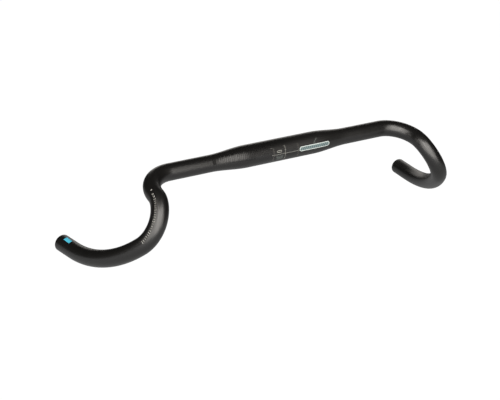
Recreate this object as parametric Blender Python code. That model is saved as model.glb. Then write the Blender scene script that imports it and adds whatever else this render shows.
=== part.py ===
"""Flared drop handlebar for a bicycle: a butted aluminium tube with printed
films and two expander end plugs.

Frame: metres. The origin is the centre of the stem clamp, +X is the rider's
left, -Y points forward (the way the bicycle rides) and +Z is up. The bar is
shown as it is fitted, with its ends level.

The centreline of one side (+X) is, in order: a straight top, a 90 degree
corner to the ramp, three arcs in one flared plane that make the hook, and a
straight end. The other side is its mirror image. A point on the surface is
given by its side, by s (distance along the centreline from the middle of the
bar) and by an angle phi round the tube, which is 0 at the front of the clamp,
90 underneath and 270 on top, and is carried along the bends without twist.
"""
import math

import bmesh
import bpy
from mathutils import Matrix, Vector

# ---------------------------------------------------------------- dimensions
# The tube, metres and degrees
HOODS_WIDTH = 0.440          # centre to centre at the brake hoods
CLAMP_DIAMETER = 0.0318      # stem clamp standard
TUBE_DIAMETER = 0.0238       # grip and lever diameter
CLAMP_HALF = 0.056           # the bulge keeps its full diameter to here
TAPER_LENGTH = 0.058         # from the bulge down to the grip diameter
CORNER_RADIUS = 0.0425       # top to ramp
RAMP_FALL = 12.4             # the ramp runs forward and down by this angle
FLARE = 31.0                 # the hook's plane leans outwards by this angle
HOOK_ARCS = ((0.0270, 28.5), (0.0427, 89.2), (0.1580, 48.0))   # radius, angle
END_LENGTH = 0.0285          # straight end
WALL_CLAMP = 0.0023          # butted wall: at the clamp
WALL_TOP = 0.0016            # along the tops
WALL_DROP = 0.0017           # round the hooks and at the ends

# Meshing
SIDES = 24
OUTER_STEP = 6.0             # degrees of bend for each ring outside
INNER_STEP = 12.0            # and inside the bore
GAP = 0.0003                 # between neighbouring pieces

# Printed films
FILM = 0.0002                # thickness
CENTRE_LINE_PHI = 38.0       # half length of the centre mark, round the tube
CENTRE_LINE_S = 0.0232       # half length of its bar along the tube
CENTRE_LINE_W = 0.0004       # stroke width
CLAMP_MARK_S = 0.0204        # where the clamp width marks stand
CLAMP_MARK_W = 0.0024
LABEL_S = (0.0030, 0.0152)   # size label, on the -X half
LABEL_PHI = (9.0, 37.0)
RING_S = (0.0058, 0.0142)    # small ring above it
RING_PHI = (-23.0, -8.0)
BADGE_S = (0.0245, 0.0768)   # pill-shaped badge, on the +X half
BADGE_PHI = (-17.0, 9.0)
PANEL_S = (0.0460, 0.1080)   # tone-on-tone panel, on the -X half
PANEL_PHI = (-62.0, 14.0)
SCALE_S = (0.2400, 0.3155)   # lever position scale on the outside of a hook
SCALE_PHI = (226.0, 251.0)
END_MARK_S = (0.4600, 0.4742)
END_MARK_PHI = (157.0, 190.0)

# End plug: radii and stations along its own axis, which points out of the
# tube and is zero at the tube's cut end
CAP_FLANGE_R = 0.0111
CAP_FLANGE_TOP = 0.0013
CAP_CHAMFER = 0.0004
CAP_SPIGOT_R = 0.0098
CAP_SPIGOT_END = -0.0052
COUNTERBORE_R = 0.0046
COUNTERBORE_FLOOR = -0.0034
CLEAR_R = 0.00285            # screw clearance
SCREW_HEAD_R = 0.00425
SCREW_HEAD_TOP = 0.0008
SCREW_HEAD_BOTTOM = -0.0031
SCREW_R = 0.0025             # M5
SCREW_TIP = -0.0300
SOCKET_FLATS = 0.0040        # hexagon key size
SOCKET_DEPTH = 0.0024
SLEEVE_R = 0.0098
SLEEVE_BORE_R = 0.0034
SLEEVE_TOP = -0.0055
SLEEVE_CONE_START = -0.0120
SLEEVE_END = -0.0195
SLEEVE_MOUTH_R = 0.0074
NUT_TIP = -0.0135
NUT_TIP_R = 0.0036
NUT_SHOULDER = -0.0224
NUT_R = 0.0086
NUT_END = -0.0246

# ------------------------------------------------------------------- helpers
for old in list(bpy.data.objects):
    bpy.data.objects.remove(old, do_unlink=True)


def material(name, colour, roughness, metallic):
    mat = bpy.data.materials.new(name)
    mat.use_nodes = True
    shader = mat.node_tree.nodes["Principled BSDF"]
    shader.inputs["Base Color"].default_value = (*colour, 1.0)
    shader.inputs["Roughness"].default_value = roughness
    shader.inputs["Metallic"].default_value = metallic
    mat.diffuse_color = (*colour, 1.0)
    return mat


def add_object(name, bm, mat, matrix=None, angle=40.0):
    """Put a closed bmesh, given in its own frame, into the scene."""
    bmesh.ops.recalc_face_normals(bm, faces=bm.faces)
    if bm.calc_volume(signed=True) < 0.0:
        bmesh.ops.reverse_faces(bm, faces=bm.faces)
    mesh = bpy.data.meshes.new(name)
    bm.to_mesh(mesh)
    bm.free()
    mesh.materials.append(mat)
    mesh.shade_smooth()
    mesh.set_sharp_from_angle(angle=math.radians(angle))
    ob = bpy.data.objects.new(name, mesh)
    bpy.context.scene.collection.objects.link(ob)
    if matrix is not None:
        ob.matrix_world = matrix
    return ob


def smoothstep(x):
    x = min(max(x, 0.0), 1.0)
    return x * x * (3.0 - 2.0 * x)


# ---------------------------------------------------------------- centreline
def build_segments():
    """Pieces of the +X centreline: length, start, heading, phi-0 direction,
    bend axis (None when straight) and bend radius."""
    pieces = []
    p = Vector((0.0, 0.0, 0.0))
    t = Vector((1.0, 0.0, 0.0))
    e = Vector((0.0, -1.0, 0.0))

    def straight(length):
        nonlocal p
        pieces.append((length, p.copy(), t.copy(), e.copy(), None, 0.0))
        p = p + t * length

    def arc(axis, radius, degrees):
        nonlocal p, t, e
        angle = math.radians(degrees)
        pieces.append((radius * angle, p.copy(), t.copy(), e.copy(), axis.copy(), radius))
        turn = Matrix.Rotation(angle, 3, axis)
        side = axis.cross(t) * radius
        p = p + side - turn @ side
        t = turn @ t
        e = turn @ e

    fall = math.radians(RAMP_FALL)
    ramp = Vector((0.0, -math.cos(fall), -math.sin(fall)))
    straight(HOODS_WIDTH / 2 - CORNER_RADIUS)
    arc(t.cross(ramp).normalized(), CORNER_RADIUS, 90.0)
    down = Vector((0.0, 0.0, -1.0))
    down = (down - ramp * down.dot(ramp)).normalized()
    lean = math.radians(FLARE)
    hook_down = down * math.cos(lean) + Vector((1.0, 0.0, 0.0)) * math.sin(lean)
    axis = ramp.cross(hook_down).normalized()
    for radius, degrees in HOOK_ARCS:
        arc(axis, radius, degrees)
    straight(END_LENGTH)
    return pieces


SEGMENTS = build_segments()
SIDE_LENGTH = sum(piece[0] for piece in SEGMENTS)


def frame_at(s):
    """Point, heading, phi-0 and phi-90 directions at s on the +X side."""
    for index, (length, p, t, e, axis, radius) in enumerate(SEGMENTS):
        if s <= length or index == len(SEGMENTS) - 1:
            break
        s -= length
    if axis is None:
        return p + t * s, t.copy(), e.copy(), t.cross(e)
    turn = Matrix.Rotation(s / radius, 3, axis)
    side = axis.cross(t) * radius
    heading, zero = turn @ t, turn @ e
    return p + side - turn @ side, heading, zero, heading.cross(zero)


def outer_radius(s):
    u = smoothstep((s - CLAMP_HALF) / TAPER_LENGTH)
    return CLAMP_DIAMETER / 2 + (TUBE_DIAMETER - CLAMP_DIAMETER) / 2 * u


def wall(s):
    butt = WALL_CLAMP + (WALL_TOP - WALL_CLAMP) * smoothstep((s - CLAMP_HALF) / TAPER_LENGTH)
    hook_start = HOODS_WIDTH / 2 - CORNER_RADIUS
    return butt + (WALL_DROP - WALL_TOP) * smoothstep((s - hook_start) / 0.06)


def surface_point(side, s, phi, lift=0.0):
    """A point on the tube's surface, or lift above it; side is 1 or -1, and a
    negative s is on the other side of the middle."""
    if s < 0.0:
        side, s = -side, -s
    p, _, zero, ninety = frame_at(s)
    a = math.radians(phi)
    q = p + (zero * math.cos(a) + ninety * math.sin(a)) * (outer_radius(s) + lift)
    return Vector((q.x * side, q.y, q.z))


def stations(step):
    """Where the +X side needs a ring, with step degrees of bend for each."""
    values = [0.0, CLAMP_HALF]
    n = max(3, round(36.0 / step))
    values += [CLAMP_HALF + TAPER_LENGTH * (i + 1) / n for i in range(n)]
    s = 0.0
    for length, _, _, _, axis, radius in SEGMENTS:
        if axis is not None:
            n = max(1, round(math.degrees(length / radius) / step))
            values += [s + length * i / n for i in range(n + 1)]
        s += length
    values.append(SIDE_LENGTH)
    kept = []
    for v in sorted(values):
        if not kept or v - kept[-1] > 1e-5:
            kept.append(v)
    return kept


# --------------------------------------------------------------- the handlebar
def tube_mesh():
    bm = bmesh.new()

    def skin(step, radius_of):
        rings = []
        half = stations(step)
        for side, values in ((-1, reversed(half[1:])), (1, half)):
            for s in values:
                p, _, zero, ninety = frame_at(s)
                r = radius_of(s)
                ring = []
                for k in range(SIDES):
                    a = 2.0 * math.pi * k / SIDES
                    q = p + (zero * math.cos(a) + ninety * math.sin(a)) * r
                    ring.append(bm.verts.new((q.x * side, q.y, q.z)))
                rings.append(ring)
        for one, two in zip(rings, rings[1:]):
            for k in range(SIDES):
                j = (k + 1) % SIDES
                bm.faces.new((one[k], one[j], two[j], two[k]))
        return rings

    outer = skin(OUTER_STEP, outer_radius)
    inner = skin(INNER_STEP, lambda s: outer_radius(s) - wall(s))
    for end in (0, -1):
        for k in range(SIDES):
            j = (k + 1) % SIDES
            bm.faces.new((outer[end][k], outer[end][j], inner[end][j], inner[end][k]))
    return bm


# --------------------------------------------------------------------- films
def spread(low, high, n):
    return [low + (high - low) * i / n for i in range(n + 1)]


def film_mesh(side, s_lines, phi_lines, keep):
    """A thin printed film on the tube: the cells of a grid that keep(s, phi)
    accepts at their middle, given a thickness."""
    bm = bmesh.new()
    verts = {}

    def vert(i, j, k):
        if (i, j, k) not in verts:
            lift = GAP + FILM * k
            verts[i, j, k] = bm.verts.new(surface_point(side, s_lines[i], phi_lines[j], lift))
        return verts[i, j, k]

    cells = set()
    for i in range(len(s_lines) - 1):
        for j in range(len(phi_lines) - 1):
            s = (s_lines[i] + s_lines[i + 1]) / 2
            phi = (phi_lines[j] + phi_lines[j + 1]) / 2
            if keep(s, phi):
                cells.add((i, j))
    for i, j in sorted(cells):
        corners = ((i, j), (i + 1, j), (i + 1, j + 1), (i, j + 1))
        bm.faces.new([vert(a, b, 1) for a, b in corners])
        bm.faces.new([vert(a, b, 0) for a, b in reversed(corners)])
        for n, beyond in enumerate(((i, j - 1), (i + 1, j), (i, j + 1), (i - 1, j))):
            if beyond not in cells:
                a, b = corners[n], corners[(n + 1) % 4]
                bm.faces.new((vert(*b, 1), vert(*a, 1), vert(*a, 0), vert(*b, 0)))
    return bm


def everywhere(s, phi):
    return True


def pill_mesh(side, s_range, phi_range, n_along, n_round):
    """A film with half-round ends, as wide as phi_range."""
    bm = bmesh.new()
    s_mid, s_half = (s_range[0] + s_range[1]) / 2, (s_range[1] - s_range[0]) / 2
    phi_mid, phi_half = (phi_range[0] + phi_range[1]) / 2, (phi_range[1] - phi_range[0]) / 2
    r = math.radians(phi_half) * CLAMP_DIAMETER / 2
    flat = s_half - r
    cap = []
    for i in range(n_round + 1):
        a = math.radians(90.0 - 75.0 * i / n_round)
        cap.append((flat + r * math.cos(a), math.sin(a)))
    rows = [(-x, width) for x, width in reversed(cap)]
    rows += [(x, 1.0) for x in spread(-flat, flat, n_along)[1:-1]]
    rows += cap
    grid = []
    for x, width in rows:
        grid.append([[bm.verts.new(surface_point(side, s_mid + x, phi_mid + phi_half * width * f,
                                                 GAP + FILM * layer))
                      for f in (-1.0, -0.5, 0.0, 0.5, 1.0)] for layer in (0, 1)])
    for one, two in zip(grid, grid[1:]):
        for layer in (0, 1):
            for j in range(4):
                bm.faces.new((one[layer][j], two[layer][j], two[layer][j + 1], one[layer][j + 1]))
        for j in (0, 4):
            bm.faces.new((one[0][j], two[0][j], two[1][j], one[1][j]))
    for row in (grid[0], grid[-1]):
        for j in range(4):
            bm.faces.new((row[0][j], row[0][j + 1], row[1][j + 1], row[1][j]))
    return bm


# ----------------------------------------------------------------- end plugs
def turned_mesh(profile, sides):
    """A closed (radius, station) loop turned about the z axis."""
    bm = bmesh.new()
    columns = []
    for r, z in profile:
        if r < 1e-9:
            columns.append([bm.verts.new((0.0, 0.0, z))])
        else:
            columns.append([bm.verts.new((r * math.cos(2 * math.pi * k / sides),
                                          r * math.sin(2 * math.pi * k / sides), z))
                            for k in range(sides)])
    n = len(columns)
    for i in range(n):
        one, two = columns[i], columns[(i + 1) % n]
        for k in range(sides):
            j = (k + 1) % sides
            loop = [one[k % len(one)], one[j % len(one)], two[j % len(two)], two[k % len(two)]]
            face = []
            for v in loop:
                if v not in face:
                    face.append(v)
            if len(face) > 2:
                bm.faces.new(face)
    return bm


def screw_mesh():
    """Socket-head screw: a turned body whose head has a hexagonal socket."""
    profile = [(0.0, SCREW_TIP), (SCREW_R - 0.0006, SCREW_TIP), (SCREW_R, SCREW_TIP + 0.0006),
               (SCREW_R, SCREW_HEAD_BOTTOM), (SCREW_HEAD_R, SCREW_HEAD_BOTTOM),
               (SCREW_HEAD_R, SCREW_HEAD_TOP - 0.0003), (SCREW_HEAD_R - 0.0003, SCREW_HEAD_TOP)]
    sides = SIDES
    bm = bmesh.new()
    tip = bm.verts.new((0.0, 0.0, profile[0][1]))
    rings = []
    for r, z in profile[1:]:
        rings.append([bm.verts.new((r * math.cos(2 * math.pi * k / sides),
                                    r * math.sin(2 * math.pi * k / sides), z))
                      for k in range(sides)])
    for k in range(sides):
        bm.faces.new((tip, rings[0][(k + 1) % sides], rings[0][k]))
    for one, two in zip(rings, rings[1:]):
        for k in range(sides):
            j = (k + 1) % sides
            bm.faces.new((one[k], one[j], two[j], two[k]))
    # the socket's mouth has a vertex for each vertex of the head's rim, so
    # that the flat top is a band between a circle and a hexagon
    corner = SOCKET_FLATS / math.sqrt(3.0)

    def hexagon(k):
        a = 2 * math.pi * k / sides
        off = (a % (math.pi / 3)) - math.pi / 6
        r = corner * math.cos(math.pi / 6) / math.cos(off)
        return r * math.cos(a), r * math.sin(a)

    mouth = [bm.verts.new((*hexagon(k), SCREW_HEAD_TOP)) for k in range(sides)]
    floor = [bm.verts.new((*hexagon(k), SCREW_HEAD_TOP - SOCKET_DEPTH)) for k in range(sides)]
    for k in range(sides):
        j = (k + 1) % sides
        bm.faces.new((rings[-1][k], rings[-1][j], mouth[j], mouth[k]))
        bm.faces.new((mouth[k], mouth[j], floor[j], floor[k]))
    bm.faces.new(floor)
    return bm


def end_matrix(side):
    """Frame of a bar end: origin at the middle of the cut, z out of the tube."""
    p, t, zero, _ = frame_at(SIDE_LENGTH)
    p = Vector((p.x * side, p.y, p.z))
    z = Vector((t.x * side, t.y, t.z))
    x = Vector((zero.x * side, zero.y, zero.z))
    y = z.cross(x)
    return Matrix(((x.x, y.x, z.x, p.x), (x.y, y.y, z.y, p.y), (x.z, y.z, z.z, p.z),
                   (0.0, 0.0, 0.0, 1.0)))


# --------------------------------------------------------------------- build
ANODISED = material("bar_anodised_black", (0.020, 0.020, 0.020), 0.42, 0.0)
PALE_INK = material("pale_ink", (0.55, 0.58, 0.57), 0.50, 0.0)
BADGE_INK = material("badge_ink", (0.28, 0.42, 0.42), 0.45, 0.0)
TONAL_INK = material("tonal_ink", (0.012, 0.012, 0.012), 0.22, 0.0)
CYAN_INK = material("cyan_ink", (0.08, 0.58, 0.80), 0.45, 0.0)
CAP_BLACK = material("cap_black_plastic", (0.018, 0.018, 0.018), 0.50, 0.0)
SCREW_STEEL = material("screw_black_steel", (0.10, 0.10, 0.105), 0.35, 1.0)
SLEEVE_RUBBER = material("sleeve_rubber", (0.030, 0.030, 0.030), 0.80, 0.0)
NUT_ALLOY = material("nut_alloy", (0.62, 0.63, 0.65), 0.30, 1.0)

add_object("bar_tube", tube_mesh(), ANODISED, angle=50.0)

w_phi = math.degrees(CENTRE_LINE_W / CLAMP_DIAMETER)
COLUMN = (CLAMP_MARK_S - CLAMP_MARK_W / 2, CLAMP_MARK_S + CLAMP_MARK_W / 2)


def in_clamp_marks(s, phi):
    centre_ring = abs(s) < CENTRE_LINE_W / 2
    bar = abs(phi) < w_phi
    column = COLUMN[0] < abs(s) < COLUMN[1]
    return centre_ring or bar or column


add_object("clamp_marks_film", film_mesh(
    1,
    [-CENTRE_LINE_S, -COLUMN[1], -COLUMN[0], -CENTRE_LINE_W / 2,
     CENTRE_LINE_W / 2, COLUMN[0], COLUMN[1], CENTRE_LINE_S],
    spread(-CENTRE_LINE_PHI, -w_phi, 5) + spread(w_phi, CENTRE_LINE_PHI, 5),
    in_clamp_marks), PALE_INK)
add_object("size_label_film", film_mesh(
    -1, list(LABEL_S), spread(*LABEL_PHI, 4), everywhere), PALE_INK)
add_object("position_ring_film", film_mesh(
    -1, spread(*RING_S, 2), spread(*RING_PHI, 2), everywhere), PALE_INK)
add_object("badge_film", pill_mesh(1, BADGE_S, BADGE_PHI, 4, 4), BADGE_INK)
add_object("tonal_panel_film", film_mesh(
    -1, spread(*PANEL_S, 6), spread(*PANEL_PHI, 8), everywhere), TONAL_INK)
for name, side in (("left", 1), ("right", -1)):
    add_object("lever_scale_film_" + name, film_mesh(
        side, spread(*SCALE_S, 16), spread(*SCALE_PHI, 3), everywhere), PALE_INK)
add_object("end_mark_film", film_mesh(
    -1, spread(*END_MARK_S, 2), spread(*END_MARK_PHI, 3), everywhere), CYAN_INK)

CAP_PROFILE = [
    (CLEAR_R, CAP_SPIGOT_END), (CAP_SPIGOT_R - 0.0004, CAP_SPIGOT_END),
    (CAP_SPIGOT_R, CAP_SPIGOT_END + 0.0004), (CAP_SPIGOT_R, GAP), (CAP_FLANGE_R, GAP),
    (CAP_FLANGE_R, CAP_FLANGE_TOP - CAP_CHAMFER), (CAP_FLANGE_R - CAP_CHAMFER, CAP_FLANGE_TOP),
    (COUNTERBORE_R, CAP_FLANGE_TOP), (COUNTERBORE_R, COUNTERBORE_FLOOR),
    (CLEAR_R, COUNTERBORE_FLOOR)]
SLEEVE_PROFILE = [
    (SLEEVE_BORE_R, SLEEVE_TOP), (SLEEVE_BORE_R, SLEEVE_CONE_START),
    (SLEEVE_MOUTH_R, SLEEVE_END), (SLEEVE_R - 0.0004, SLEEVE_END),
    (SLEEVE_R, SLEEVE_END + 0.0006), (SLEEVE_R, SLEEVE_TOP - 0.0006),
    (SLEEVE_R - 0.0006, SLEEVE_TOP)]
NUT_PROFILE = [
    (CLEAR_R, NUT_TIP), (NUT_TIP_R, NUT_TIP), (NUT_R, NUT_SHOULDER),
    (NUT_R, NUT_END + 0.0005), (NUT_R - 0.0005, NUT_END), (CLEAR_R, NUT_END)]

for name, side in (("left", 1), ("right", -1)):
    empty = bpy.data.objects.new("bar_end_" + name, None)
    bpy.context.scene.collection.objects.link(empty)
    empty.matrix_world = end_matrix(side)
    empty.empty_display_size = 0.02
    bpy.context.view_layer.update()
    for part, mesh, mat in (
            ("plug_cap_", turned_mesh(CAP_PROFILE, SIDES), CAP_BLACK),
            ("plug_screw_", screw_mesh(), SCREW_STEEL),
            ("plug_sleeve_", turned_mesh(SLEEVE_PROFILE, SIDES), SLEEVE_RUBBER),
            ("plug_nut_", turned_mesh(NUT_PROFILE, SIDES), NUT_ALLOY)):
        add_object(part + name, mesh, mat, angle=30.0).parent = empty

bpy.context.view_layer.update()
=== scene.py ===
"""Looks of the drop handlebar: the fine tube, its printed marks, the end plugs
in detail, their materials, the light and the camera.

Surface coordinates follow the CAD: side is +1 (rider's left, +X) or -1, s is
the distance along the centreline from the middle of the bar, and phi is the
angle round the tube, 0 in front at the clamp, 90 underneath and 270 on top.
"""

import math

import bmesh
import bpy
from mathutils import Matrix, Vector


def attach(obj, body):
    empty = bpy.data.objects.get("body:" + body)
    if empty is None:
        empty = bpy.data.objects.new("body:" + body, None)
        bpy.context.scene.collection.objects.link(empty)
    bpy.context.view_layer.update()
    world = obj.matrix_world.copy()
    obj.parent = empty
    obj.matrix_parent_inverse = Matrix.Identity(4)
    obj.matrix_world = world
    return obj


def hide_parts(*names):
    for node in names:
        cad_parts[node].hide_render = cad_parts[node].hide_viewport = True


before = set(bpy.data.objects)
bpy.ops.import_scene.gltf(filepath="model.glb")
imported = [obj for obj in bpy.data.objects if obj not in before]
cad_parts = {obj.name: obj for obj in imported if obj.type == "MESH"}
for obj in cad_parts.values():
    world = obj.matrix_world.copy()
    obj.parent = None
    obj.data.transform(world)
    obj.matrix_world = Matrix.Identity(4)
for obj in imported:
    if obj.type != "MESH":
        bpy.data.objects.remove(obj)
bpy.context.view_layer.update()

# ------------------------------------------------------------ tube dimensions
HOODS_WIDTH = 0.440
CLAMP_DIAMETER = 0.0318
TUBE_DIAMETER = 0.0238
CLAMP_HALF = 0.056
TAPER_LENGTH = 0.058
CORNER_RADIUS = 0.0425
RAMP_FALL = 12.4
FLARE = 31.0
HOOK_ARCS = ((0.0270, 28.5), (0.0427, 89.2), (0.1580, 48.0))
END_LENGTH = 0.0285
WALL_CLAMP = 0.0023
WALL_TOP = 0.0016
WALL_DROP = 0.0017
MM = 0.001


def smoothstep(x):
    x = min(max(x, 0.0), 1.0)
    return x * x * (3.0 - 2.0 * x)


def spread(low, high, n):
    return [low + (high - low) * i / n for i in range(n + 1)]


def build_segments():
    pieces = []
    p = Vector((0.0, 0.0, 0.0))
    t = Vector((1.0, 0.0, 0.0))
    e = Vector((0.0, -1.0, 0.0))

    def straight(length):
        nonlocal p
        pieces.append((length, p.copy(), t.copy(), e.copy(), None, 0.0))
        p = p + t * length

    def arc(axis, radius, degrees):
        nonlocal p, t, e
        angle = math.radians(degrees)
        pieces.append((radius * angle, p.copy(), t.copy(), e.copy(), axis.copy(), radius))
        turn = Matrix.Rotation(angle, 3, axis)
        side = axis.cross(t) * radius
        p = p + side - turn @ side
        t = turn @ t
        e = turn @ e

    fall = math.radians(RAMP_FALL)
    ramp = Vector((0.0, -math.cos(fall), -math.sin(fall)))
    straight(HOODS_WIDTH / 2 - CORNER_RADIUS)
    arc(t.cross(ramp).normalized(), CORNER_RADIUS, 90.0)
    down = Vector((0.0, 0.0, -1.0))
    down = (down - ramp * down.dot(ramp)).normalized()
    lean = math.radians(FLARE)
    hook_down = down * math.cos(lean) + Vector((1.0, 0.0, 0.0)) * math.sin(lean)
    axis = ramp.cross(hook_down).normalized()
    for radius, degrees in HOOK_ARCS:
        arc(axis, radius, degrees)
    straight(END_LENGTH)
    return pieces


SEGMENTS = build_segments()
SIDE_LENGTH = sum(piece[0] for piece in SEGMENTS)


def frame_at(s):
    for index, (length, p, t, e, axis, radius) in enumerate(SEGMENTS):
        if s <= length or index == len(SEGMENTS) - 1:
            break
        s -= length
    if axis is None:
        return p + t * s, t.copy(), e.copy(), t.cross(e)
    turn = Matrix.Rotation(s / radius, 3, axis)
    side = axis.cross(t) * radius
    heading, zero = turn @ t, turn @ e
    return p + side - turn @ side, heading, zero, heading.cross(zero)


def outer_radius(s):
    u = smoothstep((s - CLAMP_HALF) / TAPER_LENGTH)
    return CLAMP_DIAMETER / 2 + (TUBE_DIAMETER - CLAMP_DIAMETER) / 2 * u


def wall(s):
    butt = WALL_CLAMP + (WALL_TOP - WALL_CLAMP) * smoothstep((s - CLAMP_HALF) / TAPER_LENGTH)
    hook_start = HOODS_WIDTH / 2 - CORNER_RADIUS
    return butt + (WALL_DROP - WALL_TOP) * smoothstep((s - hook_start) / 0.06)


def surface_point(side, s, phi, lift=0.0):
    if s < 0.0:
        side, s = -side, -s
    p, _, zero, ninety = frame_at(s)
    a = math.radians(phi)
    q = p + (zero * math.cos(a) + ninety * math.sin(a)) * (outer_radius(s) + lift)
    return Vector((q.x * side, q.y, q.z))


# ------------------------------------------------------------------ materials
class Nodes:
    """A material's node tree, written one node at a time."""

    def __init__(self, name):
        self.mat = bpy.data.materials.new(name)
        self.mat.use_nodes = True
        self.tree = self.mat.node_tree
        self.shader = self.tree.nodes["Principled BSDF"]
        self.column = 0

    def add(self, kind, inputs=None, **settings):
        node = self.tree.nodes.new(kind)
        self.column += 1
        node.location = (-220 * self.column, -180 * (self.column % 4))
        for key, value in settings.items():
            setattr(node, key, value)
        for key, value in (inputs or {}).items():
            if isinstance(value, bpy.types.NodeSocket):
                self.tree.links.new(value, node.inputs[key])
            else:
                node.inputs[key].default_value = value
        return node

    def set(self, **values):
        for key, value in values.items():
            socket = self.shader.inputs[key.replace("_", " ")]
            if isinstance(value, bpy.types.NodeSocket):
                self.tree.links.new(value, socket)
            else:
                socket.default_value = value

    def noise(self, vector, scale, detail=4.0, roughness=0.5):
        return self.add("ShaderNodeTexNoise", {"Vector": vector, "Scale": scale, "Detail": detail,
                                               "Roughness": roughness})

    def remap(self, value, low, high, to_low, to_high):
        return self.add("ShaderNodeMapRange", {"Value": value, "From Min": low, "From Max": high,
                                               "To Min": to_low, "To Max": to_high}).outputs["Result"]

    def ramp(self, fac, stops):
        node = self.add("ShaderNodeValToRGB", {"Fac": fac})
        elements = node.color_ramp.elements
        while len(elements) < len(stops):
            elements.new(0.5)
        for element, (at, colour) in zip(elements, stops):
            element.position = at
            element.color = (*colour, 1.0)
        return node.outputs["Color"]

    def math(self, operation, a, b):
        return self.add("ShaderNodeMath", {0: a, 1: b}, operation=operation).outputs["Value"]

    def bump(self, height, distance, strength=1.0, normal=None):
        inputs = {"Height": height, "Distance": distance, "Strength": strength}
        if normal is not None:
            inputs["Normal"] = normal
        return self.add("ShaderNodeBump", inputs).outputs["Normal"]


def object_vector(n):
    return n.add("ShaderNodeTexCoord").outputs["Object"]


def anodised_material():
    """Bead-blasted aluminium, anodised black: a fine even grain, faint lines
    along the tube from drawing it, and a slow change of tone."""
    n = Nodes("anodised_black")
    where = object_vector(n)
    along = n.add("ShaderNodeUVMap", uv_map="tube").outputs["UV"]
    stretched = n.add("ShaderNodeMapping", {"Vector": along, "Scale": (0.06, 1.0, 1.0)}).outputs["Vector"]
    grain = n.noise(where, 3800.0, 3.0, 0.6).outputs["Fac"]
    blotch = n.noise(where, 26.0, 3.0, 0.5).outputs["Fac"]
    lines = n.noise(stretched, 900.0, 2.0, 0.5).outputs["Fac"]
    tone = n.math("ADD", n.math("MULTIPLY", grain, 0.55), n.math("MULTIPLY", blotch, 0.45))
    n.set(Base_Color=n.ramp(tone, [(0.25, (0.0020, 0.0019, 0.0018)), (0.75, (0.0046, 0.0044, 0.0042))]))
    rough = n.math("ADD", n.remap(grain, 0.3, 0.7, 0.285, 0.335), n.remap(lines, 0.3, 0.7, -0.010, 0.010))
    # the clamp zone is polished unevenly: smoother to the right of the middle,
    # and duller to the left of it
    place = n.add("ShaderNodeSeparateXYZ", {"Vector": along}).outputs["X"]
    uneven = n.math("MULTIPLY", n.remap(place, -0.040, 0.030, -0.045, 0.045),
                    n.remap(n.math("ABSOLUTE", place, 0.0), 0.095, 0.150, 1.0, 0.0))
    rough = n.math("ADD", rough, uneven)
    mottle = n.noise(where, 620.0, 2.0, 0.55).outputs["Fac"]
    rough = n.math("ADD", rough, n.remap(mottle, 0.3, 0.7, -0.018, 0.018))
    n.set(Roughness=rough)
    n.shader.inputs["IOR"].default_value = 1.5
    fine = n.bump(grain, 0.000012, 1.0, n.bump(mottle, 0.000008))
    n.set(Normal=n.bump(lines, 0.000006, 1.0, fine))
    return n.mat


def ink_material(name, light, dark, roughness, scale=2600.0, ior=1.5):
    """Screen-printed ink: tiny pinholes and an uneven film."""
    n = Nodes(name)
    where = object_vector(n)
    speck = n.noise(where, scale, 3.0, 0.6).outputs["Fac"]
    cloud = n.noise(where, 240.0, 2.0, 0.5).outputs["Fac"]
    tone = n.math("ADD", n.math("MULTIPLY", speck, 0.6), n.math("MULTIPLY", cloud, 0.4))
    n.set(Base_Color=n.ramp(tone, [(0.32, dark), (0.56, light)]))
    n.set(Roughness=n.remap(speck, 0.3, 0.7, roughness - 0.05, roughness + 0.06))
    n.shader.inputs["IOR"].default_value = ior
    n.set(Normal=n.bump(speck, 0.000010))
    return n.mat


def moulded_material(name, dark, light, roughness, texture, depth):
    """Moulded plastic or elastomer: a spark-eroded skin of small cells."""
    n = Nodes(name)
    where = object_vector(n)
    cells = n.add("ShaderNodeTexVoronoi", {"Vector": where, "Scale": texture})
    grain = n.noise(where, texture * 2.3, 3.0, 0.6).outputs["Fac"]
    cloud = n.noise(where, 160.0, 2.0, 0.5).outputs["Fac"]
    n.set(Base_Color=n.ramp(cloud, [(0.3, dark), (0.7, light)]))
    n.set(Roughness=n.remap(grain, 0.3, 0.7, roughness - 0.05, roughness + 0.05))
    height = n.math("ADD", n.math("MULTIPLY", cells.outputs["Distance"], 0.6), n.math("MULTIPLY", grain, 0.4))
    n.set(Normal=n.bump(height, depth))
    return n.mat


def turned_material(name, dark, light, roughness, metallic):
    """Metal with the fine rings that turning it leaves."""
    n = Nodes(name)
    rings_at = n.add("ShaderNodeUVMap", uv_map="turned").outputs["UV"]
    squeezed = n.add("ShaderNodeMapping", {"Vector": rings_at, "Scale": (1.0, 0.02, 1.0)}).outputs["Vector"]
    where = object_vector(n)
    rings = n.noise(squeezed, 5200.0, 2.0, 0.6).outputs["Fac"]
    stain = n.noise(where, 420.0, 3.0, 0.55).outputs["Fac"]
    n.set(Base_Color=n.ramp(stain, [(0.3, dark), (0.7, light)]))
    n.set(Roughness=n.math("ADD", n.remap(rings, 0.3, 0.7, roughness - 0.05, roughness + 0.05),
                           n.remap(stain, 0.3, 0.7, -0.03, 0.03)))
    n.shader.inputs["Metallic"].default_value = metallic
    n.set(Normal=n.bump(rings, 0.000006))
    return n.mat


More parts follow.
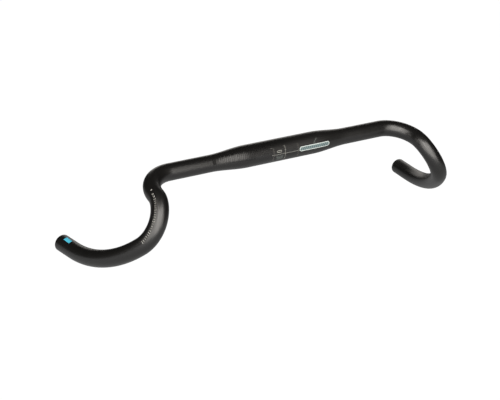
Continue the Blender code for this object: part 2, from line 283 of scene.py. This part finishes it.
ANODISED = anodised_material()
PALE_INK = ink_material("pale_ink", (0.21, 0.21, 0.19), (0.13, 0.13, 0.12), 0.50)
DIM_INK = ink_material("dim_ink", (0.075, 0.085, 0.080), (0.045, 0.052, 0.049), 0.50)
FAINT_INK = ink_material("faint_ink", (0.135, 0.128, 0.118), (0.085, 0.080, 0.074), 0.50)
SCALE_INK = ink_material("scale_ink", (0.47, 0.46, 0.43), (0.33, 0.32, 0.30), 0.50)
WHITE_INK = ink_material("badge_outline_ink", (0.37, 0.41, 0.40), (0.25, 0.29, 0.28), 0.45)
BADGE_INK = ink_material("badge_ink", (0.030, 0.046, 0.048), (0.019, 0.031, 0.032), 0.45)
HATCH_INK = ink_material("badge_hatch_ink", (0.115, 0.160, 0.163), (0.075, 0.110, 0.113), 0.45)
CYAN_INK = ink_material("cyan_ink", (0.05, 0.34, 0.47), (0.035, 0.27, 0.39), 0.45)
PANEL_INK = ink_material("panel_ink", (0.0032, 0.0031, 0.0030), (0.0020, 0.0020, 0.0019), 0.26, 2600.0, 1.42)
STROKE_INK = ink_material("panel_stroke_ink", (0.0085, 0.0080, 0.0075), (0.005, 0.0048, 0.0045), 0.33, 2600.0, 1.55)
FADED_INK = ink_material("panel_faded_ink", (0.0045, 0.0043, 0.0041), (0.003, 0.0029, 0.0028), 0.30, 2600.0, 1.47)
# painted shade: a near-black film that barely reflects, for the dark band where the taper meets the thinner tube
PANEL_EDGE_SHADE = ink_material("panel_edge_painted_shade", (0.0022, 0.0021, 0.0020), (0.0014, 0.0014, 0.0013), 0.50, 2600.0, 1.25)
CAP_PLASTIC = moulded_material("cap_black_plastic", (0.013, 0.013, 0.013), (0.024, 0.024, 0.024), 0.50, 2400.0, 0.00003)
RUBBER = moulded_material("sleeve_rubber", (0.020, 0.020, 0.020), (0.036, 0.035, 0.034), 0.78, 1500.0, 0.00002)
SCREW_STEEL = turned_material("screw_black_steel", (0.07, 0.07, 0.075), (0.15, 0.15, 0.155), 0.36, 1.0)
NUT_ALLOY = turned_material("nut_alloy", (0.56, 0.57, 0.59), (0.70, 0.71, 0.73), 0.30, 1.0)


# -------------------------------------------------------------------- helpers
def piece(name, bm, mat, body, nodes, slot, matrix=None, angle=35.0):
    """Make a mesh object of bm, with every face pointing out, and let it ride."""
    bmesh.ops.recalc_face_normals(bm, faces=bm.faces)
    if bm.calc_volume(signed=True) < 0.0:
        bmesh.ops.reverse_faces(bm, faces=bm.faces)
    mesh = bpy.data.meshes.new(name)
    if matrix is not None:
        bm.transform(matrix)
        if matrix.determinant() < 0.0:
            bmesh.ops.reverse_faces(bm, faces=bm.faces)
    bm.to_mesh(mesh)
    bm.free()
    mesh.materials.append(mat)
    mesh.shade_smooth()
    mesh.set_sharp_from_angle(angle=math.radians(angle))
    ob = bpy.data.objects.new(name, mesh)
    bpy.context.scene.collection.objects.link(ob)
    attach(ob, body)
    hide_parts(*nodes)
    return ob


# ------------------------------------------------------------------- the tube
SIDES = 96


def fine_stations(step):
    values = spread(0.0, CLAMP_HALF, 8)
    values += spread(CLAMP_HALF, CLAMP_HALF + TAPER_LENGTH, 32)
    values += spread(CLAMP_HALF + TAPER_LENGTH, HOODS_WIDTH / 2 - CORNER_RADIUS, 10)
    s = 0.0
    for length, _, _, _, axis, radius in SEGMENTS:
        if axis is not None:
            n = max(2, round(math.degrees(length / radius) / step))
            values += [s + length * i / n for i in range(n + 1)]
        s += length
    values += spread(SIDE_LENGTH - END_LENGTH, SIDE_LENGTH, 5)
    kept = []
    for v in sorted(values):
        if not kept or v - kept[-1] > 2e-5:
            kept.append(v)
    return kept


def tube():
    bm = bmesh.new()
    uv = bm.loops.layers.uv.new("tube")
    tags = {}
    half = fine_stations(1.5)
    last = SIDE_LENGTH
    edge, inside = 0.00035, 0.00020
    # (s, radius) along one side's outside, round the cut edge and back inside
    out = [(s, outer_radius(s)) for s in half if s < last - edge - 1e-5]
    r = outer_radius(last)
    out += [(last - edge + edge * math.sin(a), r - edge + edge * math.cos(a))
            for a in (math.radians(15.0 * i) for i in range(7))]
    bore = r - wall(last)
    back = [(last - inside + inside * math.sin(a), bore + inside - inside * math.cos(a))
            for a in (math.radians(90.0 - 15.0 * i) for i in range(7))]
    back += [(s, outer_radius(s) - wall(s)) for s in reversed(fine_stations(3.0)) if s < last - inside - 1e-5]
    path = out + back

    def ring(side, s, radius):
        p, _, zero, ninety = frame_at(s)
        verts = []
        for k in range(SIDES):
            a = 2.0 * math.pi * k / SIDES
            q = p + (zero * math.cos(a) + ninety * math.sin(a)) * radius
            v = bm.verts.new((q.x * side, q.y, q.z))
            tags[v] = (side * s, k)
            verts.append(v)
        return verts

    rings = [ring(1, s, radius) for s, radius in path]
    mirror = [rings[0]] + [ring(-1, s, radius) for s, radius in path[1:-1]] + [rings[-1]]
    around = 2.0 * math.pi * 0.012
    for chain in (rings, mirror):
        for one, two in zip(chain, chain[1:]):
            for k in range(SIDES):
                j = (k + 1) % SIDES
                face = bm.faces.new((one[k], one[j], two[j], two[k]))
                for loop, turn in zip(face.loops, (k, k + 1, k + 1, k)):
                    loop[uv].uv = (tags[loop.vert][0], around * turn / SIDES)
    return bm


piece("bar_tube_fine", tube(), ANODISED, "handlebar", ["bar_tube"], "bar_anodised_black", angle=40.0)


# ------------------------------------------------------------ printed marks
# A mark is drawn flat, in millimetres: x along the bar (s) and y round it
# (downwards in front, so y / radius is phi), then cut into strips, given its
# thickness and laid on the tube.
FILM_LOW, FILM_HIGH = 0.000006, 0.000045


class Print:
    def __init__(self, radius=CLAMP_DIAMETER / 2 / MM):
        self.bm = bmesh.new()
        self.radius = radius

    def deg(self, phi):
        return math.radians(phi) * self.radius

    def polygon(self, points):
        self.bm.faces.new([self.bm.verts.new((x, y, 0.0)) for x, y in points])

    def box(self, x0, y0, x1, y1):
        self.polygon([(x0, y0), (x1, y0), (x1, y1), (x0, y1)])

    def stroke(self, x0, y0, x1, y1, width):
        dx, dy = x1 - x0, y1 - y0
        n = math.hypot(dx, dy)
        ax, ay = -dy / n * width / 2, dx / n * width / 2
        self.polygon([(x0 - ax, y0 - ay), (x1 - ax, y1 - ay), (x1 + ax, y1 + ay), (x0 + ax, y0 + ay)])

    def slant(self, x0, y0, x1, y1, lean):
        """A box whose top edge is moved along by lean."""
        self.polygon([(x0 + lean, y0), (x1 + lean, y0), (x1, y1), (x0, y1)])

    def band(self, outer, inner):
        """The ring between two outlines with as many points."""
        a = [self.bm.verts.new((x, y, 0.0)) for x, y in outer]
        b = [self.bm.verts.new((x, y, 0.0)) for x, y in inner]
        for i in range(len(a)):
            j = (i + 1) % len(a)
            self.bm.faces.new((a[i], a[j], b[j], b[i]))

    def solid(self, side, cut_x=3.0, cut_phi=2.5, outside=FILM_HIGH):
        bm = self.bm
        xs = [v.co.x for v in bm.verts]
        ys = [v.co.y for v in bm.verts]
        for low, high, step, normal in (
                (min(xs), max(xs), cut_x, (1.0, 0.0, 0.0)),
                (min(ys), max(ys), self.deg(cut_phi), (0.0, 1.0, 0.0))):
            for i in range(math.ceil(low / step), math.floor(high / step) + 1):
                at = (normal[0] * i * step, normal[1] * i * step, 0.0)
                bmesh.ops.bisect_plane(bm, geom=bm.verts[:] + bm.edges[:] + bm.faces[:],
                                       dist=1e-5, plane_co=at, plane_no=normal)
        made = bmesh.ops.extrude_face_region(bm, geom=bm.faces[:])
        for v in made["geom"]:
            if isinstance(v, bmesh.types.BMVert):
                v.co.z = 1.0
        for v in bm.verts:
            lift = FILM_LOW + (outside - FILM_LOW) * v.co.z
            v.co = surface_point(side, v.co.x * MM, math.degrees(v.co.y / self.radius), lift)
        return bm


def pill(x0, x1, y0, y1, n=10):
    """Outline of a bar with half-round ends."""
    r = (y1 - y0) / 2
    points = []
    for cx, start in ((x1 - r, -90.0), (x0 + r, 90.0)):
        for i in range(n + 1):
            a = math.radians(start + 180.0 * i / n)
            points.append((cx + r * math.cos(a), (y0 + y1) / 2 + r * math.sin(a)))
    return points


# centre cross
marks = Print()
top, foot = marks.deg(-38.0), marks.deg(37.0)
marks.box(-0.2, top, 0.2, -0.18)
marks.box(-0.2, 0.18, 0.2, foot)
marks.box(-22.2, -0.18, 24.3, 0.18)
marks.stroke(-0.2, top + 0.15, -1.4, top - 0.45, 0.35)
piece("clamp_marks_print", marks.solid(1), PALE_INK, "handlebar", ["clamp_marks_film"], "pale_ink")

# the two dotted columns that show how wide the stem may be
columns = Print()
for column in (-19.3, 21.9):
    for i in range(-6, 7):
        if i == 0:
            continue
        y = columns.deg(6.2 * i)
        x = column + (0.5 if i % 2 else -0.5)
        columns.box(x - 0.65, y - 0.15, x + 0.65, y + 0.15)
columns.box(-24.2, columns.deg(-36.5) - 0.35, -21.0, columns.deg(-36.5) - 0.05)
piece("clamp_columns_print", columns.solid(1), FAINT_INK, "handlebar", ["clamp_marks_film"], "pale_ink")

# size label: a rule over three broken rows, with no characters
label = Print()
label.box(2.6, label.deg(7.8), 15.8, label.deg(9.2))
for row, lengths in enumerate(((1.6, 2.6, 1.2, 2.4, 1.4), (2.4, 1.2, 2.2, 1.6), (1.4, 2.2, 1.4, 2.6))):
    x = 3.6 + 0.35 * row
    y = label.deg(13.5 + 7.0 * row)
    for length in lengths:
        label.box(x, y, x + length, y + 0.95)
        x += length + 0.55
piece("size_label_print", label.solid(-1), DIM_INK, "handlebar", ["size_label_film"], "pale_ink")

ring_mark = Print()
ring_mark.band(pill(6.0, 13.8, ring_mark.deg(-20.5), ring_mark.deg(-9.5)),
               pill(6.55, 13.25, ring_mark.deg(-20.5) + 0.55, ring_mark.deg(-9.5) - 0.55))
piece("position_ring_print", ring_mark.solid(-1), PALE_INK, "handlebar", ["position_ring_film"], "pale_ink")


def hatched(points, pitch, lean, odd):
    """Every other slanted strip of an outline, drawn flat."""
    drawn = Print()
    drawn.polygon(points)
    bm = drawn.bm
    across = Vector((1.0, lean, 0.0)).normalized()
    reach = [v.co.dot(across) for v in bm.verts]
    for i in range(math.ceil(min(reach) / pitch), math.floor(max(reach) / pitch) + 1):
        bmesh.ops.bisect_plane(bm, geom=bm.verts[:] + bm.edges[:] + bm.faces[:], dist=1e-5,
                               plane_co=across * (i * pitch), plane_no=across)
    gone = [f for f in bm.faces
            if math.floor(f.calc_center_median().dot(across) / pitch) % 2 != (1 if odd else 0)]
    bmesh.ops.delete(bm, geom=gone, context="FACES")
    return drawn


# badge: an outlined bar filled with slanted hatching, and the short stroke above it
y0, y1 = math.radians(-16.5) * 15.9, math.radians(8.5) * 15.9
outline = Print()
outline.band(pill(24.3, 76.8, y0, y1, 14), pill(25.3, 75.8, y0 + 1.0, y1 - 1.0, 14))
piece("badge_outline_print", outline.solid(1), WHITE_INK, "handlebar", ["badge_film"], "badge_ink")
inner = pill(25.45, 75.65, y0 + 1.15, y1 - 1.15, 14)
piece("badge_field_print", hatched(inner, 1.7, 0.45, False).solid(1), BADGE_INK, "handlebar",
      ["badge_film"], "badge_ink")
piece("badge_hatch_print", hatched(inner, 1.7, 0.45, True).solid(1), HATCH_INK, "handlebar",
      ["badge_film"], "badge_ink")
slash = Print()
slash.stroke(48.7, slash.deg(-22.0), 55.6, slash.deg(-46.0), 0.75)
piece("badge_stroke_print", slash.solid(1), DIM_INK, "handlebar", ["badge_film"], "pale_ink")

# tone-on-tone panel: a smooth black field, a dull near-black strip at its outer end where the taper meets the thinner
# tube, which is painted shade for the dark band the bend of the taper shows there, and plain slanted bars of uneven
# height, a little brighter, over the field
panel = Print()
panel.polygon([(47.0, panel.deg(-47.0)), (106.0, panel.deg(-61.0)), (110.2, panel.deg(-30.0)),
               (110.2, panel.deg(-9.0)), (50.0, panel.deg(3.0))])
piece("tonal_panel_print", panel.solid(-1, outside=0.000022), PANEL_INK, "handlebar", ["tonal_panel_film"],
      "tonal_ink")
# painted shade: this dull strip over the end of the taper stands in for the dark band that its bend shows
edge = Print()
edge.polygon([(106.3, edge.deg(-63.0)), (113.8, edge.deg(-65.0)), (116.0, edge.deg(-30.0)),
              (114.8, edge.deg(-12.0)), (110.5, edge.deg(-12.0)), (110.5, edge.deg(-30.0))])
piece("tonal_edge_painted_shade", edge.solid(-1, outside=0.000022), PANEL_EDGE_SHADE, "handlebar", ["tonal_panel_film"],
      "tonal_ink")
strokes, faded = Print(), Print()
for i in range(20):
    x = 50.0 + 2.85 * i
    high = -44.0 - 0.75 * i + (5.0, -1.0, 8.0, 0.0, 3.0)[i % 5]
    low = -2.0 - 0.4 * i + (-6.0, 0.0, -12.0, -3.0, 1.0, -8.0, -2.0)[i % 7]
    drawn = strokes if x > 63.0 else faded
    drawn.slant(x, drawn.deg(high), x + (1.2, 1.5, 1.0)[i % 3], drawn.deg(low), -0.9)
piece("tonal_strokes_print", strokes.solid(-1), STROKE_INK, "handlebar", ["tonal_panel_film"], "tonal_ink")
piece("tonal_faded_print", faded.solid(-1), FADED_INK, "handlebar", ["tonal_panel_film"], "tonal_ink")

# lever scales: 21 ticks with every fifth longer, and three index marks
TICK_FIRST, TICK_STEP = 256.8, 2.81


def scale_phi(s):
    """The row of ticks turns a little round the tube as it goes down."""
    return 238.0 + (246.0 - 238.0) * (s - TICK_FIRST) / (313.0 - TICK_FIRST)


for name, side in (("left", 1), ("right", -1)):
    scale = Print(TUBE_DIAMETER / 2 / MM)
    for i in range(21):
        s = TICK_FIRST + TICK_STEP * i
        y = scale.deg(scale_phi(s))
        long = i % 5 == 0
        wide = 1.85 if long else 1.45
        thick = 0.38 if long else 0.30
        scale.box(s - thick / 2, y - wide, s + thick / 2, y + wide)
    for s, phi in ((243.0, 246.0), (249.0, 237.5), (253.0, 238.0)):
        y = scale.deg(phi)
        scale.box(s - 0.9, y - 0.9, s + 0.9, y - 0.45)
        scale.box(s - 0.9, y + 0.45, s + 0.9, y + 0.9)
    piece("lever_scale_print_" + name, scale.solid(side, 1.2, 3.75), SCALE_INK, "handlebar",
          ["lever_scale_film_" + name], "pale_ink")

end_mark = Print(TUBE_DIAMETER / 2 / MM)
end_mark.polygon([(473.7, end_mark.deg(188.0)), (474.4, end_mark.deg(157.0)),
                  (460.6, end_mark.deg(160.0)), (459.6, end_mark.deg(191.0))])
piece("end_mark_print", end_mark.solid(-1, 2.0, 3.75), CYAN_INK, "handlebar", ["end_mark_film"], "cyan_ink")


# ------------------------------------------------------------------ end plugs
TURNED = 72


def end_matrix(side):
    p, t, zero, _ = frame_at(SIDE_LENGTH)
    p = Vector((p.x * side, p.y, p.z))
    z = Vector((t.x * side, t.y, t.z))
    x = Vector((zero.x * side, zero.y, zero.z))
    y = z.cross(x)
    return Matrix(((x.x, y.x, z.x, p.x), (x.y, y.y, z.y, p.y), (x.z, y.z, z.z, p.z),
                   (0.0, 0.0, 0.0, 1.0)))


def turned(profile, sides=TURNED, radius_at=None):
    """A closed (radius, station) loop, in millimetres, turned about z.
    radius_at(r, z, angle) can change a point's radius."""
    bm = bmesh.new()
    uv = bm.loops.layers.uv.new("turned")
    lengths = [0.0]
    for (r0, z0), (r1, z1) in zip(profile, profile[1:] + profile[:1]):
        lengths.append(lengths[-1] + math.hypot(r1 - r0, z1 - z0))
    columns = []
    for r, z in profile:
        if r < 1e-9:
            columns.append([bm.verts.new((0.0, 0.0, z * MM))])
            continue
        column = []
        for k in range(sides):
            a = 2.0 * math.pi * k / sides
            rr = r if radius_at is None else radius_at(r, z, a)
            column.append(bm.verts.new((rr * math.cos(a) * MM, rr * math.sin(a) * MM, z * MM)))
        columns.append(column)
    n = len(columns)
    for i in range(n):
        one, two = columns[i], columns[(i + 1) % n]
        if len(one) == 1 and len(two) == 1:
            continue
        for k in range(sides):
            j = (k + 1) % sides
            corners = [(one[k % len(one)], lengths[i], k), (one[j % len(one)], lengths[i], k + 1),
                       (two[j % len(two)], lengths[i + 1], k + 1), (two[k % len(two)], lengths[i + 1], k)]
            loop = []
            for corner in corners:
                if corner[0] not in [c[0] for c in loop]:
                    loop.append(corner)
            face = bm.faces.new([c[0] for c in loop])
            for corner, lp in zip(loop, face.loops):
                lp[uv].uv = (corner[1] * MM, corner[2] / sides * 0.03)
    return bm


def fillet(corner, before, after, radius, n=4):
    """Points that round a profile's corner."""
    def toward(p, q, d):
        length = math.hypot(q[0] - p[0], q[1] - p[1])
        return (p[0] + (q[0] - p[0]) * d / length, p[1] + (q[1] - p[1]) * d / length)
    a, b = toward(corner, before, radius), toward(corner, after, radius)
    points = []
    for i in range(n + 1):
        t = i / n
        points.append(((1 - t) ** 2 * a[0] + 2 * t * (1 - t) * corner[0] + t * t * b[0],
                       (1 - t) ** 2 * a[1] + 2 * t * (1 - t) * corner[1] + t * t * b[1]))
    return points


def rounded(profile):
    """A closed profile of (r, z, fillet radius) corners, as plain points."""
    points = []
    n = len(profile)
    for i, (r, z, f) in enumerate(profile):
        before, after = profile[i - 1][:2], profile[(i + 1) % n][:2]
        if f > 0.0:
            points += fillet((r, z), before, after, f)
        else:
            points.append((r, z))
    return points


# Cap: a domed rim with a shallow groove, and a spigot with eight crush ribs
CAP = rounded([
    (2.85, -5.2, 0.1), (9.25, -5.2, 0.2), (9.75, -4.6, 0.25), (9.75, 0.3, 0.1), (11.1, 0.3, 0.15),
    (11.1, 0.95, 0.35), (10.2, 1.3, 0.4), (8.5, 1.3, 0.08), (8.3, 1.02, 0.06), (7.7, 1.02, 0.06),
    (7.5, 1.3, 0.08), (4.95, 1.3, 0.2), (4.6, 1.0, 0.15), (4.6, -3.4, 0.0), (2.85, -3.4, 0.1)])


def crush_ribs(r, z, a):
    if r < 9.0 or z > 0.25 or z < -4.9:
        return r
    near = abs((a / (2 * math.pi / 8)) % 1.0 - 0.5) * 2.0
    return r + 0.28 * smoothstep((near - 0.80) / 0.12)


# Sleeve: an elastomer ring with five shallow grooves and a conical mouth
def sleeve_profile():
    points = [(3.4, -5.5, 0.15), (3.4, -12.0, 0.3), (7.4, -19.5, 0.15), (9.4, -19.5, 0.3), (9.8, -18.9, 0.2)]
    for i in range(5):
        z = -17.6 + 2.5 * i
        points += [(9.8, z - 0.45, 0.12), (9.45, z - 0.2, 0.1), (9.45, z + 0.2, 0.1), (9.8, z + 0.45, 0.12)]
    points += [(9.8, -6.1, 0.2), (9.2, -5.5, 0.2)]
    return rounded(points)


# Nut: a cone with a short shoulder and six draft flutes
NUT = rounded([(2.85, -13.5, 0.15), (3.6, -13.5, 0.25), (8.6, -22.4, 0.5), (8.6, -24.1, 0.3), (8.1, -24.6, 0.2),
               (2.85, -24.6, 0.3)])


def nut_points():
    """The nut's profile with extra points up the cone, so flutes can form."""
    points = []
    for (r0, z0), (r1, z1) in zip(NUT, NUT[1:] + NUT[:1]):
        steps = 12 if abs(z1 - z0) > 4.0 else 1
        for i in range(steps):
            points.append((r0 + (r1 - r0) * i / steps, z0 + (z1 - z0) * i / steps))
    return points


def flutes(r, z, a):
    if r < 4.6 or z < -23.9 or r < 2.9:
        return r
    near = abs((a / (2 * math.pi / 6)) % 1.0 - 0.5) * 2.0
    depth = 0.55 * smoothstep((r - 4.6) / 1.5) * smoothstep((near - 0.70) / 0.22)
    return r - depth


def screw():
    """M5 socket-head screw: knurled head, hexagonal socket, cut thread."""
    sides = TURNED
    bm = bmesh.new()
    uv = bm.loops.layers.uv.new("turned")

    def circle(radius, z, shape=None):
        ring = []
        for k in range(sides):
            a = 2.0 * math.pi * k / sides
            r = radius if shape is None else shape(radius, z, a)
            ring.append(bm.verts.new((r * math.cos(a) * MM, r * math.sin(a) * MM, z * MM)))
        return ring

    def join(one, two, at=0.0):
        for k in range(sides):
            j = (k + 1) % sides
            face = bm.faces.new((one[k], one[j], two[j], two[k]))
            for lp, (u, turn) in zip(face.loops, ((at, k), (at, k + 1), (at + 0.1, k + 1), (at + 0.1, k))):
                lp[uv].uv = (u * MM, turn / sides * 0.03)

    pitch, depth = 0.8, 0.46
    start, finish = -29.4, -9.0          # thread from near the tip to here

    def thread(radius, z, a):
        phase = ((z - start) / pitch - a / (2 * math.pi)) % 1.0
        tooth = abs(phase - 0.5) * 2.0                   # 0 on the crest line
        cut = min(max((tooth - 0.14) / 0.62, 0.0), 1.0)
        fade = smoothstep((z - start + 0.6) / 0.6) * smoothstep((finish - z + 0.5) / 0.9)
        return radius - depth * cut * fade

    rings = [circle(1.85, -30.0), circle(2.15, -29.9)]
    z = start
    while z < finish + 0.5:
        rings.append(circle(2.49, z, thread))
        z += 0.1
    rings += [circle(2.49, zz) for zz in (finish + 0.8, -6.0, -3.6)]
    rings += [circle(2.55, -3.3), circle(2.75, -3.1), circle(3.95, -3.1), circle(4.17, -3.02)]

    def knurl(radius, z, a):
        return radius - 0.07 * (0.5 - 0.5 * math.cos(a * 36))
    for zz in (-2.86, -2.5, -1.6, -0.7, 0.0, 0.22):
        rings.append(circle(4.25, zz, knurl))
    for r, zz in ((4.22, 0.36), (4.12, 0.52), (3.95, 0.66), (3.72, 0.76), (3.5, 0.8)):
        rings.append(circle(r, zz))
    at = 0.0
    for one, two in zip(rings, rings[1:]):
        join(one, two, at)
        at += 0.1
    tip = bm.verts.new((0.0, 0.0, -30.0 * MM))
    for k in range(sides):
        bm.faces.new((tip, rings[0][(k + 1) % sides], rings[0][k]))

    def hexagon(radius, z, a):
        off = (a % (math.pi / 3)) - math.pi / 6
        return radius / math.cos(off)
    chamfer = circle(2.42, 0.8)
    mouth = circle(2.0, 0.58, hexagon)
    deep = circle(2.0, -1.6, hexagon)
    cone = circle(1.9, -1.62)
    join(rings[-1], chamfer)
    join(chamfer, mouth)
    join(mouth, deep)
    join(deep, cone)
    bottom = bm.verts.new((0.0, 0.0, -2.2 * MM))
    for k in range(sides):
        bm.faces.new((bottom, cone[k], cone[(k + 1) % sides]))
    return bm


for name, side in (("left", 1), ("right", -1)):
    at = end_matrix(side)
    piece("plug_cap_fine_" + name, turned(CAP, 144, crush_ribs), CAP_PLASTIC, name + "_plug",
          ["plug_cap_" + name], "cap_black_plastic", at)
    piece("plug_sleeve_fine_" + name, turned(sleeve_profile()), RUBBER, name + "_plug",
          ["plug_sleeve_" + name], "sleeve_rubber", at)
    piece("plug_nut_fine_" + name, turned(nut_points(), 144, flutes), NUT_ALLOY, name + "_plug_nut",
          ["plug_nut_" + name], "nut_alloy", at)
    piece("plug_screw_fine_" + name, screw(), SCREW_STEEL, name + "_plug_screw",
          ["plug_screw_" + name], "screw_black_steel", at)


# ---------------------------------------------------------------------- stage
scene = bpy.context.scene
scene.view_settings.view_transform = "Standard"
scene.view_settings.look = "None"


def direction(azimuth, elevation):
    a, e = math.radians(azimuth), math.radians(elevation)
    return Vector((math.sin(a) * math.cos(e), -math.cos(a) * math.cos(e), math.sin(e)))


def softbox(name, azimuth, elevation, distance, width, height, radiance, target=(0.0, 0.0, -0.04)):
    """A rectangular light that faces the object, of even radiance."""
    data = bpy.data.lights.new(name, "AREA")
    data.shape = "RECTANGLE"
    data.size, data.size_y = width, height
    data.energy = radiance * math.pi * width * height
    data.color = (1.0, 0.960, 0.910)
    ob = bpy.data.objects.new(name, data)
    ob.location = Vector(target) + direction(azimuth, elevation) * distance
    ob.rotation_euler = direction(azimuth, elevation).to_track_quat("Z", "Y").to_euler()
    ob.visible_camera = False
    scene.collection.objects.link(ob)
    return ob


softbox("key", -17.0, 28.0, 2.4, 1.9, 2.9, 6.6)
softbox("key_left", -57.5, 28.0, 2.4, 1.65, 2.9, 5.0)
softbox("key_right", 16.0, 30.0, 2.4, 0.85, 2.9, 4.2)
softbox("side", -99.0, 20.0, 2.4, 0.6, 0.9, 2.4)
softbox("rim", 149.0, 10.0, 1.37, 1.25, 0.58, 1.1)

world = bpy.data.worlds.new("studio")
scene.world = world
world.use_nodes = True
tree = world.node_tree
background = tree.nodes["Background"]
background.inputs["Color"].default_value = (1.0, 1.0, 1.0, 1.0)
seen = tree.nodes.new("ShaderNodeLightPath")
level = tree.nodes.new("ShaderNodeMapRange")         # white behind the object, dark round it
level.inputs["To Min"].default_value = 0.02
level.inputs["To Max"].default_value = 1.0
tree.links.new(seen.outputs["Is Camera Ray"], level.inputs["Value"])
tree.links.new(level.outputs["Result"], background.inputs["Strength"])

bm = bmesh.new()
FLOOR_Z, HALF = -0.45, 9.0
bm.faces.new([bm.verts.new((x * HALF, y * HALF, FLOOR_Z)) for x, y in ((-1, -1), (1, -1), (1, 1), (-1, 1))])
mesh = bpy.data.meshes.new("floor")
bm.to_mesh(mesh)
bm.free()
floor = bpy.data.objects.new("floor", mesh)
scene.collection.objects.link(floor)
n = Nodes("floor_pale")
where = object_vector(n)
n.set(Base_Color=n.ramp(n.noise(where, 3.0).outputs["Fac"], [(0.3, (0.01, 0.01, 0.01)), (0.7, (0.012, 0.012, 0.012))]))
n.set(Roughness=0.9)
n.shader.inputs["Emission Color"].default_value = (1.0, 1.0, 1.0, 1.0)
n.shader.inputs["Specular IOR Level"].default_value = 0.0
# painted light: the floor is near black and glows; in what the tube reflects, the glow is a painted pool of key light,
# brightest toward the key light, and it is plain white where it is seen
axes = n.add("ShaderNodeSeparateXYZ", {"Vector": where})
slope = n.math("ADD", n.math("MULTIPLY", axes.outputs["X"], -0.183), n.math("MULTIPLY", axes.outputs["Y"], -0.217))
painted_key_light_pool = n.remap(n.math("ADD", slope, 0.58), 0.1, 1.5, 0.1, 1.5)
painted_floor_glow = n.add("ShaderNodeMapRange", {"Value": n.add("ShaderNodeLightPath").outputs["Is Camera Ray"],
                                    "To Min": painted_key_light_pool, "To Max": 1.02}).outputs["Result"]
n.set(Emission_Strength=painted_floor_glow)
mesh.materials.append(n.mat)

camera_data = bpy.data.cameras.new("camera")
camera_data.sensor_fit = "HORIZONTAL"
camera_data.sensor_width = 36.0
camera_data.lens = 86.918
camera_data.clip_start, camera_data.clip_end = 0.05, 60.0
camera = bpy.data.objects.new("camera", camera_data)
scene.collection.objects.link(camera)
right = Vector((0.8355659, -0.5479019, 0.04041204))
up = Vector((0.1914827, 0.35938205, 0.91333396))
back = Vector((-0.51494077, -0.7554125, 0.40520112))
place = Vector((-0.91772604, -1.27972844, 0.61827991))
camera.matrix_world = Matrix(((right.x, up.x, back.x, place.x), (right.y, up.y, back.y, place.y),
                              (right.z, up.z, back.z, place.z), (0.0, 0.0, 0.0, 1.0)))
scene.camera = camera
